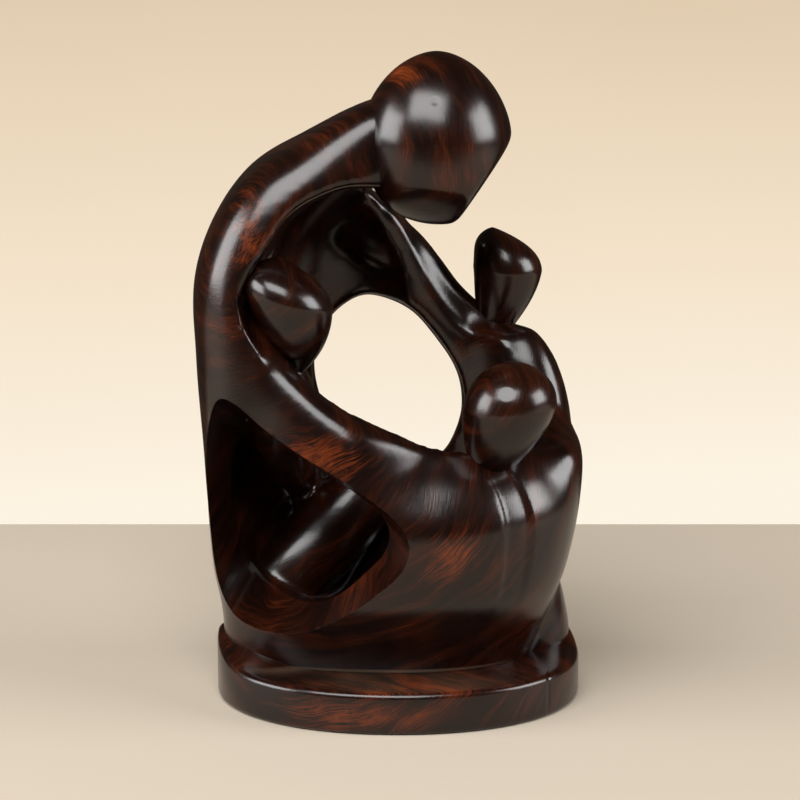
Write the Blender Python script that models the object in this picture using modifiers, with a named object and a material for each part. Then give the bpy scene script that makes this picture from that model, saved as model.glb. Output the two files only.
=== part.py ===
"""A mother bending over her three children, carved with its plinth from one block of dark wood."""

import math

import bmesh
import bpy
import numpy as np

# Driving sizes, in metres. +Z is up, -Y is the front and the origin is the centre of the underside.
# How far the figure stands above the plinth, on which its carving's shares depend.
FIGURE_HEIGHT = 0.186
PLINTH_WIDTH = 0.112
PLINTH_DEPTH = 0.090
PLINTH_THICKNESS = 0.013
PLINTH_EDGE_RADIUS = 0.0018
# The thickness of the arms, and of the wood left between the lap and the plinth.
WALL = 0.015
FLOOR = 0.015

# The blended wood is remade at this spacing and softened over as many passes.
VOXEL = 0.0014
BLEND_PASSES = 12
# Triangles kept in the body, and in each head, before they are joined.
BODY_TRIANGLES = 4330
HEAD_TRIANGLES = 950

# The carving is given in units of 1/186 of the figure's height, which is a millimetre at this size.
# Heights are above the plinth's top, x runs to the right and y to the back.
UNIT = FIGURE_HEIGHT / 186
# The plinth's half width and half depth in those units, over which the figure's foot spreads up to
# a height.
FOOT_REACH = (56, 45)
FOOT_TOP = 60
# How square the ring and the plinth are in plan: 2 is an ellipse.
RING_SQUARENESS = 2.15
PLINTH_SQUARENESS = 2.12
# The openings are cut along a line that drops 13 degrees towards the back.
CUT_DROP = -math.tan(math.radians(13))
# The ring's outer side: height, then its reach to the right, left, front and back.
RING_OUTSIDE = [
    (-5, 38.5, 54, 23, 40),
    (4, 41.5, 54, 26.5, 41),
    (14, 46.5, 54.5, 33, 43),
    (27, 51.5, 57, 41.3, 45),
    (43, 55, 58.2, 43.8, 46),
    (60, 56.6, 59, 42.8, 46),
    (77, 55.5, 60, 40.5, 45.5),
    (95, 53.5, 61, 38, 44),
    (115, 45, 61, 33, 41),
    (135, 36, 55, 27, 37),
    (155, 28, 40, 22, 32),
]
# The ring's top: direction in degrees from the right towards the back, outer and inner height.
RING_TOP = [
    (-180, 120, 120),
    (-160, 117, 116),
    (-145, 111, 110),
    (-136, 106, 104.5),
    (-129, 100.3, 99),
    (-123, 94.8, 94),
    (-116, 89.5, 88.6),
    (-109, 84.4, 84),
    (-101, 79.7, 80.2),
    (-93, 75.8, 76.8),
    (-84, 71.2, 73.4),
    (-75, 67.5, 71.4),
    (-60, 65.8, 69.5),
    (-40, 65.8, 68),
    (-15, 67, 67.5),
    (0, 69, 68.5),
    (13, 72, 70.5),
    (21, 79, 77),
    (27, 88, 85),
    (35, 96.5, 94),
    (46, 99, 96),
    (58, 98, 96),
    (63, 101.5, 100),
    (68, 106, 104.5),
    (74, 113, 112),
    (81, 123.5, 122),
    (87, 131, 129),
    (93, 136.5, 134),
    (100, 142, 139),
    (110, 147, 144),
    (125, 147, 144),
    (150, 134, 132),
    (180, 120, 120),
]
# How far the ridge round each child's head stands out.
RIDGE = 0.4
# The third child's shoulder: the directions where it begins, is whole, is still whole and ends,
# the heights over which it leans in, and how fast.
SHOULDER_SIDES = (-104, -80, -32, -12)
SHOULDER_HEIGHTS = (45, 67)
SHOULDER_CURVE = 0.02
# The channel down the third child's back: its sides in degrees, its foot, top and depth.
CHANNEL_SIDES = (-55.0, -44.5)
CHANNEL_HEIGHTS = (14.0, 74.0)
CHANNEL_DEPTH = 1.0


def smooth_rows(rows, places):
    """Reads a Catmull-Rom spline through evenly spaced rows at places from 0 to 1."""
    rows = np.array(rows, float)
    padded = np.vstack([2 * rows[0] - rows[1], rows, 2 * rows[-1] - rows[-2]])
    along = np.clip(np.asarray(places, float), 0, 1) * (len(rows) - 1)
    first = np.minimum(along.astype(int), len(rows) - 2)
    t = (along - first)[:, None]
    a, b, c, d = (padded[first + k] for k in range(4))
    return 0.5 * (
        2 * b + (c - a) * t + (2 * a - 5 * b + 4 * c - d) * t**2 + (3 * b - a - 3 * c + d) * t**3
    )


def read_keys(keys, values):
    """Reads a smooth curve through (place, value, ...) keys whose places are uneven."""
    keys = np.array(keys, float)
    values = np.clip(values, keys[0, 0], keys[-1, 0])
    places = np.interp(values, keys[:, 0], np.linspace(0, 1, len(keys)))
    return smooth_rows(keys[:, 1:], places)


def ease(values, low, high):
    """Rises smoothly from 0 at low to 1 at high."""
    t = np.clip((values - low) / (high - low), 0, 1)
    return t * t * (3 - 2 * t)


def rounded(wave, squareness):
    return np.sign(wave) * np.abs(wave) ** (2 / squareness)


def foot_spread(height):
    """How much wider and deeper the figure stands at a height, when its plinth is made larger."""
    share = 1 - ease(np.asarray(height, float)[..., None], 0, FOOT_TOP)
    full = np.array((PLINTH_WIDTH, PLINTH_DEPTH)) / 2 / UNIT / FOOT_REACH
    return 1 + (full - 1) * share


def lifted(points):
    """Carving units above the plinth's top, as metres above the underside."""
    points = np.asarray(points, float)
    sideways = points[..., :2] * foot_spread(points[..., 2])
    return np.concatenate([sideways, points[..., 2:]], axis=-1) * UNIT + (0, 0, PLINTH_THICKNESS)


def linked(name, bm):
    """Turns a bmesh into an object of the scene, its faces outward."""
    bmesh.ops.recalc_face_normals(bm, faces=bm.faces)
    mesh = bpy.data.meshes.new(name)
    bm.to_mesh(mesh)
    bm.free()
    thing = bpy.data.objects.new(name, mesh)
    bpy.context.scene.collection.objects.link(thing)
    return thing


def shaped_ball(name, segments, rings, form):
    """Makes a sphere whose points are moved by form(longitude, share from pole to pole)."""
    bm = bmesh.new()
    bmesh.ops.create_uvsphere(bm, u_segments=segments, v_segments=rings, radius=1)
    where = np.array([v.co for v in bm.verts])
    longitude = np.arctan2(where[:, 1], where[:, 0])
    share = np.arccos(np.clip(where[:, 2], -1, 1)) / math.pi
    for vertex, point in zip(bm.verts, form(longitude, share)):
        vertex.co = point
    return linked(name, bm)


def limb(name, stations, across_towards, bluntness=5, squareness=2.3):
    """A rounded limb through stations (x, y, z, half across, half through)."""

    def form(longitude, share):
        rows = smooth_rows(stations, share)
        ahead = smooth_rows(stations, share + 0.01)[:, :3]
        behind = smooth_rows(stations, share - 0.01)[:, :3]
        run = (ahead - behind) / np.linalg.norm(ahead - behind, axis=1, keepdims=True)
        towards = np.array(across_towards, float)
        across = towards - run * (run @ towards)[:, None]
        across /= np.linalg.norm(across, axis=1, keepdims=True)
        through = np.cross(run, across)
        end = (1 - np.abs(2 * share - 1) ** bluntness) ** (1 / bluntness)
        c = rounded(np.cos(longitude), squareness)
        s = rounded(np.sin(longitude), squareness)
        points = rows[:, :3] + across * (rows[:, 3] * end * c)[:, None]
        points += through * (rows[:, 4] * end * s)[:, None]
        return lifted(points)

    return shaped_ball(name, 40, 48, form)


def child_head(name, crown, middle, neck, half_width, neck_width, tilt, fullness, doming):
    """A drop-shaped head: a dome over a soft ridge, then a long taper to the neck."""
    line = np.array([crown, middle, neck], float)
    dome = np.linalg.norm(line[1] - line[0])
    whole = dome + np.linalg.norm(line[2] - line[1])
    across = np.array((math.cos(tilt), 0, math.sin(tilt)))

    def form(longitude, share):
        along = whole * (1 - np.cos(math.pi * share)) / 2
        centre = smooth_rows(line, np.interp(along, (0, dome, whole), (0, 0.5, 1)))
        up = np.clip(1 - along / dome, 0, 1)
        down = np.clip((along - dome) / (whole - dome), 0, 1)
        taper = neck_width + (half_width - neck_width) * (1 - down**2) ** fullness
        radius = np.where(along < dome, half_width * (1 - up**2) ** doming, taper)
        radius += np.where(up < 1, RIDGE * np.exp(-np.abs(along - dome) / 3), 0)
        radius = np.where(share > 0.999, 0, radius)
        points = centre + across * (radius * np.cos(longitude))[:, None]
        points[:, 1] += radius * np.sin(longitude)
        return lifted(points)

    return shaped_ball(name, 48, 40, form)


def pressed(points, way, reach, softness):
    """Presses what stands out beyond a plane nearly flat."""
    over = points @ np.array(way) - reach
    held = np.where(over > 0, softness * np.tanh(over / softness), over)
    return points + np.array(way) * (held - over)[:, None]


def mother_head():
    """An egg with a pointed crown, pressed flat beside the face and under it."""
    centre = np.array((11.4, -2, 159.6))
    wide, deep, above, below = 22.6, 21.5, 26.2, 26.5
    crown_squareness = 1.8
    chin_squareness = 2.4
    # Each flat: the way it faces, its distance from the centre and the softness of its edge.
    flats = [((0.83, -0.1, -0.55), 16.3, 3.0), ((-0.1, -0.55, -0.83), 18.6, 3.4)]

    def form(longitude, share):
        level, up = np.sin(math.pi * share), np.cos(math.pi * share)
        level = np.where(up > 0, rounded(level, crown_squareness), level)
        height = np.where(up > 0, above * rounded(up, crown_squareness), below * up)
        chin = (1 - np.abs(up) ** chin_squareness) ** (1 / chin_squareness)
        x = wide * level * np.cos(longitude)
        y = deep * np.where(up > 0, level, chin) * np.sin(longitude)
        points = np.stack([x, y, height], axis=1)
        for flat in flats:
            points = pressed(points, *flat)
        return lifted(centre + points)

    return shaped_ball("mother_head", 56, 44, form)


def heads():
    return [
        mother_head(),
        child_head("first_child_head", (-35.0, -20, 127.2), (-32.6, -20, 114.8), (-29.5, -18.5, 92),
                   13.1, 1.0, math.radians(-12), 1.0, 0.85),
        child_head("second_child_head", (29.5, 34, 126.8), (34.3, 34, 113.8), (29.5, 33, 90),
                   10.4, 2.5, math.radians(-3), 1.1, 0.75),
        child_head("third_child_head", (33.3, -24, 96.2), (33.1, -24, 82.5), (28.5, -21, 62),
                   13.7, 5.0, math.radians(3), 1.0, 0.52),
    ]


def ring_point(angle, height, inset):
    """A point on the ring's side, a given distance inside its outer face."""
    right, left, front, back = read_keys(RING_OUTSIDE, height).T
    c, s = np.cos(angle), np.sin(angle)
    x = (np.where(c > 0, right, left) - inset) * rounded(c, RING_SQUARENESS)
    y = (np.where(s > 0, back, front) - inset) * rounded(s, RING_SQUARENESS)
    return np.stack([x, y, height], axis=-1)


def shoulder_lean(angle, height):
    """How far the third child's shoulder leans in from the ring's outer side."""
    first, whole, still_whole, last = SHOULDER_SIDES
    foot, top = SHOULDER_HEIGHTS
    direction = np.degrees(angle)
    share = ease(direction, first, whole) * (1 - ease(direction, still_whole, last))
    return share * SHOULDER_CURVE * np.clip(height - foot, 0, top - foot) ** 2


def ring():
    """The joined arms and bodies: a bowl whose wall rises and falls around it."""
    wall = WALL / UNIT
    floor = FLOOR / UNIT
    # The wall's inner foot spreads this far in before the floor closes over the middle.
    reach = wall + 9
    middle = reach + 36
    # Share of the way over the wall, height as a share of the wall's, inset from the outer face.
    section = [
        (0.00, 0.0, middle),
        (0.08, 0.0, 4),
        (0.12, 0.05, 0),
        (0.22, 0.33, 0),
        (0.33, 0.65, 0),
        (0.41, 0.90, 0),
        (0.45, 0.97, 1.2),
        (0.475, 0.995, 3),
        (0.50, 1.0, 5.5),
        (0.53, 1.0, wall - 2),
        (0.56, 0.95, wall),
        (0.68, 0.62, wall + 1),
        (0.80, 0.30, wall + 3),
        (0.92, 0.06, reach),
        (1.00, 0.0, middle),
    ]

    def form(longitude, share):
        outer, inner = read_keys(RING_TOP, np.degrees(longitude)).T
        height_share, inset = read_keys(section, share).T
        top = outer + (inner - outer) * np.clip(inset / (wall - 2), 0, 1)
        base = np.where(share < 0.5, RING_OUTSIDE[0][0], floor)
        height = base + (top - base) * np.clip(height_share, 0, 1)
        lean = shoulder_lean(longitude, height) * np.clip(1 - inset / wall, 0, 1)
        points = ring_point(longitude, height, np.clip(inset + lean, 0, reach))
        points[:, :2] *= np.clip((middle - inset) / (middle - reach), 0, 1)[:, None]
        return lifted(points)

    return shaped_ball("ring", 96, 90, form)


def hood():
    """The mother's back, bent over to her neck."""
    stations = [
        (-32, 2, 8, 28, 22.5),
        (-34, 2, 40, 32, 24.3),
        (-35, 2, 70, 34, 24.6),
        (-36, 2, 98, 33, 25.3),
        (-36, 2, 118, 31, 25),
        (-31, 2, 135, 28, 21),
        (-19, 1, 148, 22, 16),
        (-6, 0, 158.5, 16, 13.2),
        (6, 0, 164, 14, 13),
    ]
    return limb("hood", stations, (0, 1, 0), squareness=3.1)


def far_arm():
    """The arm laid along the inside of the far wall, down to the second child."""
    stations = [
        (-20, 33, 125, 6, 4),
        (-11, 33, 126, 9.5, 6),
        (0, 34, 120, 8.5, 7),
        (9, 35, 112, 6.5, 6.5),
        (16, 35, 105, 5, 6),
        (23, 34, 98, 5.5, 6),
        (31, 30, 90, 8, 7),
        (38, 26, 80, 9, 8),
    ]
    return limb("far_arm", stations, (0.6, 0, 0.8), bluntness=4)


def second_child_body():
    """The broad back of the second child, spreading to the plinth's rim."""
    stations = [
        (39.5, 11, -10, 16, 16),
        (39.5, 12, 2, 15, 16),
        (39.5, 15, 12, 12.8, 16),
        (39, 19, 24, 10.5, 15),
        (41, 22, 44, 10, 13),
        (43, 22, 64, 11.5, 12),
        (41, 24, 82, 10, 10),
        (35.5, 27, 96, 8, 8),
    ]
    return limb("second_child_body", stations, (1, 0, 0))


def third_child_body():
    """What fills the ring's wall out to carry the third child's head."""
    stations = [
        (22, -10, -5, 11, 8),
        (26, -13, 20, 14, 10),
        (31, -16.5, 42, 17, 13),
        (32, -18.5, 56, 15, 10.5),
        (31.5, -19.5, 66, 10, 6.5),
    ]
    return limb("third_child_body", stations, (0.82, 0.57, 0), bluntness=4)


def first_child_body():
    """The body of the first child, a tapering drop laid against the mother's lap."""
    stations = [
        (-31, -17, 94, 3.5, 4),
        (-33, -8, 84, 8.5, 8),
        (-36.5, 3, 72, 9.5, 9),
        (-35.5, 14, 60, 8, 9),
        (-31, 24, 49, 5.5, 8),
        (-27.5, 33, 37, 1.5, 5),
    ]
    return limb("first_child_body", stations, (1, 0, 0), bluntness=4)


def lap():
    """The mother's thigh, which crosses the hollow from the near left up to the far wall."""
    stations = [
        (-40, 10, 11, 11, 11),
        (-33, 14, 20, 13, 12.5),
        (-22, 20, 31.5, 13.5, 12.5),
        (-12, 25, 42, 12, 11.5),
        (-3, 30, 48, 10, 8),
    ]
    return limb("lap", stations, (0, 1, 0), bluntness=4)


def hollow():
    """The space inside the embrace."""
    stations = [
        (-14, 2, 13, 16, 18),
        (-14, 2, 24, 30, 31),
        (-15, 2, 40, 33, 37),
        (-15, 2, 56, 33, 36.5),
        (-15, 3, 72, 31, 33),
        (-15, 3, 88, 30, 29),
        (-16, 3, 106, 31, 27),
        (-16, 3, 124, 29, 21),
        (-12, 3, 138, 20, 14),
        (-8, 2, 147, 8, 8),
    ]
    return limb("hollow", stations, (0, 1, 0), bluntness=4)


def closed_line(points, count):
    """A smooth closed line of so many points through the given ones."""
    points = np.array(points, float)
    around = np.vstack([points, points, points])
    places = (len(points) + np.arange(count) / count * len(points)) / (len(around) - 1)
    return smooth_rows(around, places)


def swept_cutter(name, rim, forward, back, slope, taper=0.0, count=72):
    """Sweeps a closed line both ways along the cut, narrowing towards the back."""
    loop = closed_line(rim, count)
    middle = loop.mean(axis=0)
    bm = bmesh.new()
    edges = []
    for reach in (-forward, back):
        points = loop.copy()
        points[:, (0, 2)] = middle[[0, 2]] + (loop - middle)[:, (0, 2)] * (1 - taper * reach)
        points = lifted(points + np.array((slope[0], 1, slope[1])) * reach)
        verts = [bm.verts.new(p) for p in points]
        centre = bm.verts.new(points.mean(axis=0))
        for k in range(count):
            edges.append(bm.edges.new((verts[k - 1], verts[k])))
            bm.faces.new((verts[k - 1], verts[k], centre))
    bmesh.ops.bridge_loops(bm, edges=edges)
    return linked(name, bm)


def mouth():
    """The open side of the mother's embrace, cut through the hood alone."""
    rim = [
        (-50, -27, -8),
        (-50, -27, 40),
        (-47.5, -27, 68),
        (-40, -27, 84),
        (-39.5, -27, 97),
        (-44.5, -27, 107),
        (-46.2, -27, 115.5),
        (-42.5, -27, 124),
        (-36, -25, 134.9),
        (-31.6, -24, 140.5),
        (-24, -21, 145),
        (-12, -18, 148),
        (6, -18, 145),
        (26, -18, 130),
        (30, -20, 90),
        (30, -20, 30),
        (26, -20, -8),
        (-8, -20, -14),
    ]
    return swept_cutter("mouth", rim, 50, 26, (0, CUT_DROP))


def window():
    """The opening through the far wall."""
    rim = [
        (-8.8, 34, 105.6),
        (-16.7, 34, 102.7),
        (-23.0, 34, 96),
        (-26.5, 34, 86),
        (-24.9, 34, 73.0),
        (-18, 34, 60),
        (-7, 34, 51.5),
        (6, 34, 50),
        (14.8, 34, 55.0),
        (19.4, 34, 64.8),
        (20.2, 34, 73.0),
        (18.5, 34, 81.1),
        (13.4, 34, 89.8),
        (3.8, 34, 100.8),
    ]
    return swept_cutter("window", rim, 20, 30, (0, CUT_DROP))


def teardrop():
    """The opening under the near arm, its rim laid on the ring's outer face."""
    # The rim as it is seen along the cut: x and height where the line of sight crosses y = 0.
    seen = [
        (-51.6, 77.7),
        (-46.7, 76.7),
        (-39.9, 70.7),
        (-28.7, 62.7),
        (-16.9, 55.3),
        (-8.2, 49.2),
        (-0.9, 43.1),
        (2.7, 37.7),
        (3.2, 32.5),
        (0.6, 26.3),
        (-6.8, 19.6),
        (-17.2, 12.4),
        (-29.2, 7.2),
        (-38.3, 7.2),
        (-44.5, 8.7),
        (-50.8, 13.2),
        (-54.9, 22),
        (-57.5, 41.9),
        (-56.8, 57.4),
        (-54.8, 70.0),
    ]
    rim = [(x, *on_ring_front(x, height)) for x, height in seen]
    return swept_cutter("teardrop", rim, 30, 18, (0.06, -0.02), 0.014)


def on_ring_front(x, seen_height):
    """Where a line of sight meets the ring's outer face: its y and its true height."""
    y = 0.0
    for _ in range(6):
        right, left, front, _ = read_keys(RING_OUTSIDE, [seen_height + y * CUT_DROP])[0]
        across = abs(x) / (right if x > 0 else left)
        y = -front * max(1 - across**RING_SQUARENESS, 0.02) ** (1 / RING_SQUARENESS)
    return y, seen_height + y * CUT_DROP


def carve_channel(body):
    """Presses the shallow channel between the third child's shoulder blades."""
    co = np.array([v.co for v in body.data.vertices])
    place = (co - (0, 0, PLINTH_THICKNESS)) / UNIT
    place[:, :2] /= foot_spread(place[:, 2])
    _, right, _, front, _ = RING_OUTSIDE[4]
    angle = np.degrees(np.arctan2(place[:, 1] / front, place[:, 0] / right))
    outer = np.hypot(place[:, 0] / (right - 11), place[:, 1] / (front - 10)) > 1
    low, high = CHANNEL_SIDES
    foot, top = CHANNEL_HEIGHTS
    share = ease(angle, low - 1, low + 1.5) * (1 - ease(angle, high - 1.5, high + 1))
    share *= ease(place[:, 2], foot, foot + 30) * (1 - ease(place[:, 2], top - 8, top))
    inward = -co[:, :2] / np.linalg.norm(co[:, :2], axis=1, keepdims=True)
    co[:, :2] += inward * (CHANNEL_DEPTH * UNIT * share * outer)[:, None]
    for vertex, point in zip(body.data.vertices, co):
        vertex.co = point
    body.data.update()


def swell(x, y):
    """How far the plinth's top rises to meet the figure, in metres."""
    # Centre, half widths and height of each rise.
    hills = [(-56, 4, 14, 14, 6.5), (-40, -8, 11, 10, 9), (44, 20, 14, 14, 8)]
    along, across = np.array((x, y)) / UNIT / foot_spread(0)
    total = 0
    for centre_x, centre_y, wide, deep, height in hills:
        away = ((along - centre_x) / wide) ** 2 + ((across - centre_y) / deep) ** 2
        total += height * math.exp(-away)
    return UNIT * total


def plinth():
    """The oval plinth, its underside flat, its edges a little rounded and its top swelling."""
    edge = PLINTH_EDGE_RADIUS
    corner = edge * (1 - math.sqrt(0.5))
    # Each row round the plinth: inset from the rim, share of the way out, height from the underside.
    rows = [(edge, 1, 0), (corner, 1, corner), (0, 1, edge)]
    rows += [(0, 1, -edge), (corner, 1, -corner), (edge, 1, None)]
    rows += [(0, out, None) for out in (0.93, 0.86, 0.78, 0.7, 0.6, 0.45, 0.25, 0)]
    rows = [(0, 0, 0)] + rows

    def form(longitude, share):
        points = []
        for angle, place in zip(longitude, share):
            index = round(place * (len(rows) - 1))
            inset, out, height = rows[index]
            x = (PLINTH_WIDTH / 2 - inset) * out * rounded(math.cos(angle), PLINTH_SQUARENESS)
            y = (PLINTH_DEPTH / 2 - inset) * out * rounded(math.sin(angle), PLINTH_SQUARENESS)
            if index > 3:
                height = PLINTH_THICKNESS + swell(x, y) + (height or 0)
            points.append((x, y, height))
        return points

    return shaped_ball("plinth", 80, len(rows) - 1, form)


def joined(name, things):
    """Puts several meshes into one object without merging them."""
    bm = bmesh.new()
    for thing in things:
        bm.from_mesh(thing.data)
        bpy.data.objects.remove(thing)
    return linked(name, bm)


def modified(thing, kind, **settings):
    """Applies one modifier to the object's mesh."""
    modifier = thing.modifiers.new(kind.title(), kind)
    for key, value in settings.items():
        setattr(modifier, key, value)
    graph = bpy.context.evaluated_depsgraph_get()
    before = thing.data
    thing.data = bpy.data.meshes.new_from_object(thing.evaluated_get(graph))
    thing.modifiers.clear()
    bpy.data.meshes.remove(before)
    return thing


def combined(thing, other, operation):
    """Cuts or joins one closed mesh with another, which is then removed."""
    modified(thing, "BOOLEAN", object=other, operation=operation, solver="EXACT")
    bpy.data.objects.remove(other)


def fused(name, things):
    """Grows several overlapping forms together into one skin."""
    return modified(joined(name, things), "REMESH", mode="VOXEL", voxel_size=VOXEL)


def pared(thing, triangles):
    """Thins a form to about so many triangles, most of them kept where it curves."""
    before = sum(len(face.vertices) - 2 for face in thing.data.polygons)
    return modified(thing, "DECIMATE", ratio=min(triangles / before, 1))


def polished_wood():
    material = bpy.data.materials.new("dark_wood")
    material.use_nodes = True
    shader = material.node_tree.nodes["Principled BSDF"]
    shader.inputs["Base Color"].default_value = (0.035, 0.013, 0.009, 1)
    shader.inputs["Roughness"].default_value = 0.28
    shader.inputs["Metallic"].default_value = 0.0
    return material


def carved_figure():
    """The mother, her arms and her children, ready to be set into the plinth."""
    back = fused("back", [hood()])
    combined(back, mouth(), "DIFFERENCE")
    body = fused("body", [back, ring(), third_child_body(), second_child_body()])
    for cutter in (hollow(), window()):
        combined(body, cutter, "DIFFERENCE")
    figure = fused("mother_and_children", [body, far_arm(), lap(), first_child_body()])
    modified(figure, "SMOOTH", factor=0.5, iterations=BLEND_PASSES)
    carve_channel(figure)
    pared(figure, BODY_TRIANGLES)
    combined(figure, teardrop(), "DIFFERENCE")
    for one in heads():
        combined(figure, pared(one, HEAD_TRIANGLES), "UNION")
    return figure


def main():
    for thing in list(bpy.data.objects):
        bpy.data.objects.remove(thing)
    figure = carved_figure()
    combined(figure, plinth(), "UNION")
    figure.data.shade_smooth()
    figure.data.set_sharp_from_angle(angle=math.radians(40))
    figure.data.materials.clear()
    figure.data.materials.append(polished_wood())
    home = bpy.data.collections.new("wooden_mother_and_children")
    bpy.context.scene.collection.children.link(home)
    bpy.context.scene.collection.objects.unlink(figure)
    home.objects.link(figure)


if __name__ == "__main__":
    main()
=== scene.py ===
"""The wooden mother and children, dressed: a fine carved surface in polished dark wood, in a plain studio."""

import logging
import math
from collections.abc import Callable, Sequence
from dataclasses import dataclass, field
from enum import Enum

import bpy
import numpy as np
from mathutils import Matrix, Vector, noise


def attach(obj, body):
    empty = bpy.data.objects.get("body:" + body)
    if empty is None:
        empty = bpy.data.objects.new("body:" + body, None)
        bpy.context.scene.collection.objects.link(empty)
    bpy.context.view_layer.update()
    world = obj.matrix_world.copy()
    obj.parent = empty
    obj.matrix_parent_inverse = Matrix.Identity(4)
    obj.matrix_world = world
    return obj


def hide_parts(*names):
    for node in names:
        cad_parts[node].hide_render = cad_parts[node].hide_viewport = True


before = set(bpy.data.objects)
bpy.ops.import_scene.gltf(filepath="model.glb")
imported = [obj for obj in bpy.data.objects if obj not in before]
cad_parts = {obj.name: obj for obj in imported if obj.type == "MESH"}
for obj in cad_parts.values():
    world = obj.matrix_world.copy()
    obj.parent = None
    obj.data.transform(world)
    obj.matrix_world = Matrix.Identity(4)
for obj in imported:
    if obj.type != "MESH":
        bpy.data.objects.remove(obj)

log = logging.getLogger("carving")

Numbers = Sequence[float]
Rows = Sequence[Sequence[float]]
Form = Callable[[np.ndarray, np.ndarray], np.ndarray]


class Cut(Enum):
    """How one closed form works on another."""

    JOIN = "UNION"
    AWAY = "DIFFERENCE"


# Curves


def smooth_rows(rows: Rows, places: np.ndarray) -> np.ndarray:
    """Reads a Catmull-Rom spline through evenly spaced rows.

    Args:
        rows: the rows that the curve goes through.
        places: where to read it, from 0 at the first row to 1 at the last.

    Returns:
        One row for each place.
    """
    table = np.array(rows, float)
    padded = np.vstack([2 * table[0] - table[1], table, 2 * table[-1] - table[-2]])
    along = np.clip(np.asarray(places, float), 0, 1) * (len(table) - 1)
    first = np.minimum(along.astype(int), len(table) - 2)
    t = (along - first)[:, None]
    a, b, c, d = (padded[first + k] for k in range(4))
    return 0.5 * (
        2 * b + (c - a) * t + (2 * a - 5 * b + 4 * c - d) * t**2 + (3 * b - a - 3 * c + d) * t**3
    )


def read_keys(keys: Rows, values: np.ndarray) -> np.ndarray:
    """Reads a smooth curve through (place, value, ...) keys whose places are uneven.

    Args:
        keys: the keys, in order of place.
        values: the places to read.

    Returns:
        The keys' values at each place.
    """
    table = np.array(keys, float)
    held = np.clip(values, table[0, 0], table[-1, 0])
    places = np.interp(held, table[:, 0], np.linspace(0, 1, len(table)))
    return smooth_rows(table[:, 1:], places)


def ease(values: np.ndarray, low: float, high: float) -> np.ndarray:
    """Rises smoothly from 0 at low to 1 at high."""
    t = np.clip((values - low) / (high - low), 0, 1)
    return t * t * (3 - 2 * t)


def rounded(wave: np.ndarray, squareness: float) -> np.ndarray:
    """Turns a cosine or sine into that of a squarer oval."""
    return np.sign(wave) * np.abs(wave) ** (2 / squareness)


def pressed(points: np.ndarray, way: Numbers, reach: float, softness: float) -> np.ndarray:
    """Presses what stands out beyond a plane nearly flat.

    Args:
        points: the places, a row each.
        way: the direction that the flat faces.
        reach: the plane's distance from the centre.
        softness: how far the flat's middle may still stand out.

    Returns:
        The places, moved.
    """
    over = points @ np.array(way) - reach
    held = np.where(over > 0, softness * np.tanh(over / softness), over)
    return points + np.array(way) * (held - over)[:, None]


# The bench: modelling steps done with Blender's own operators


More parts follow.
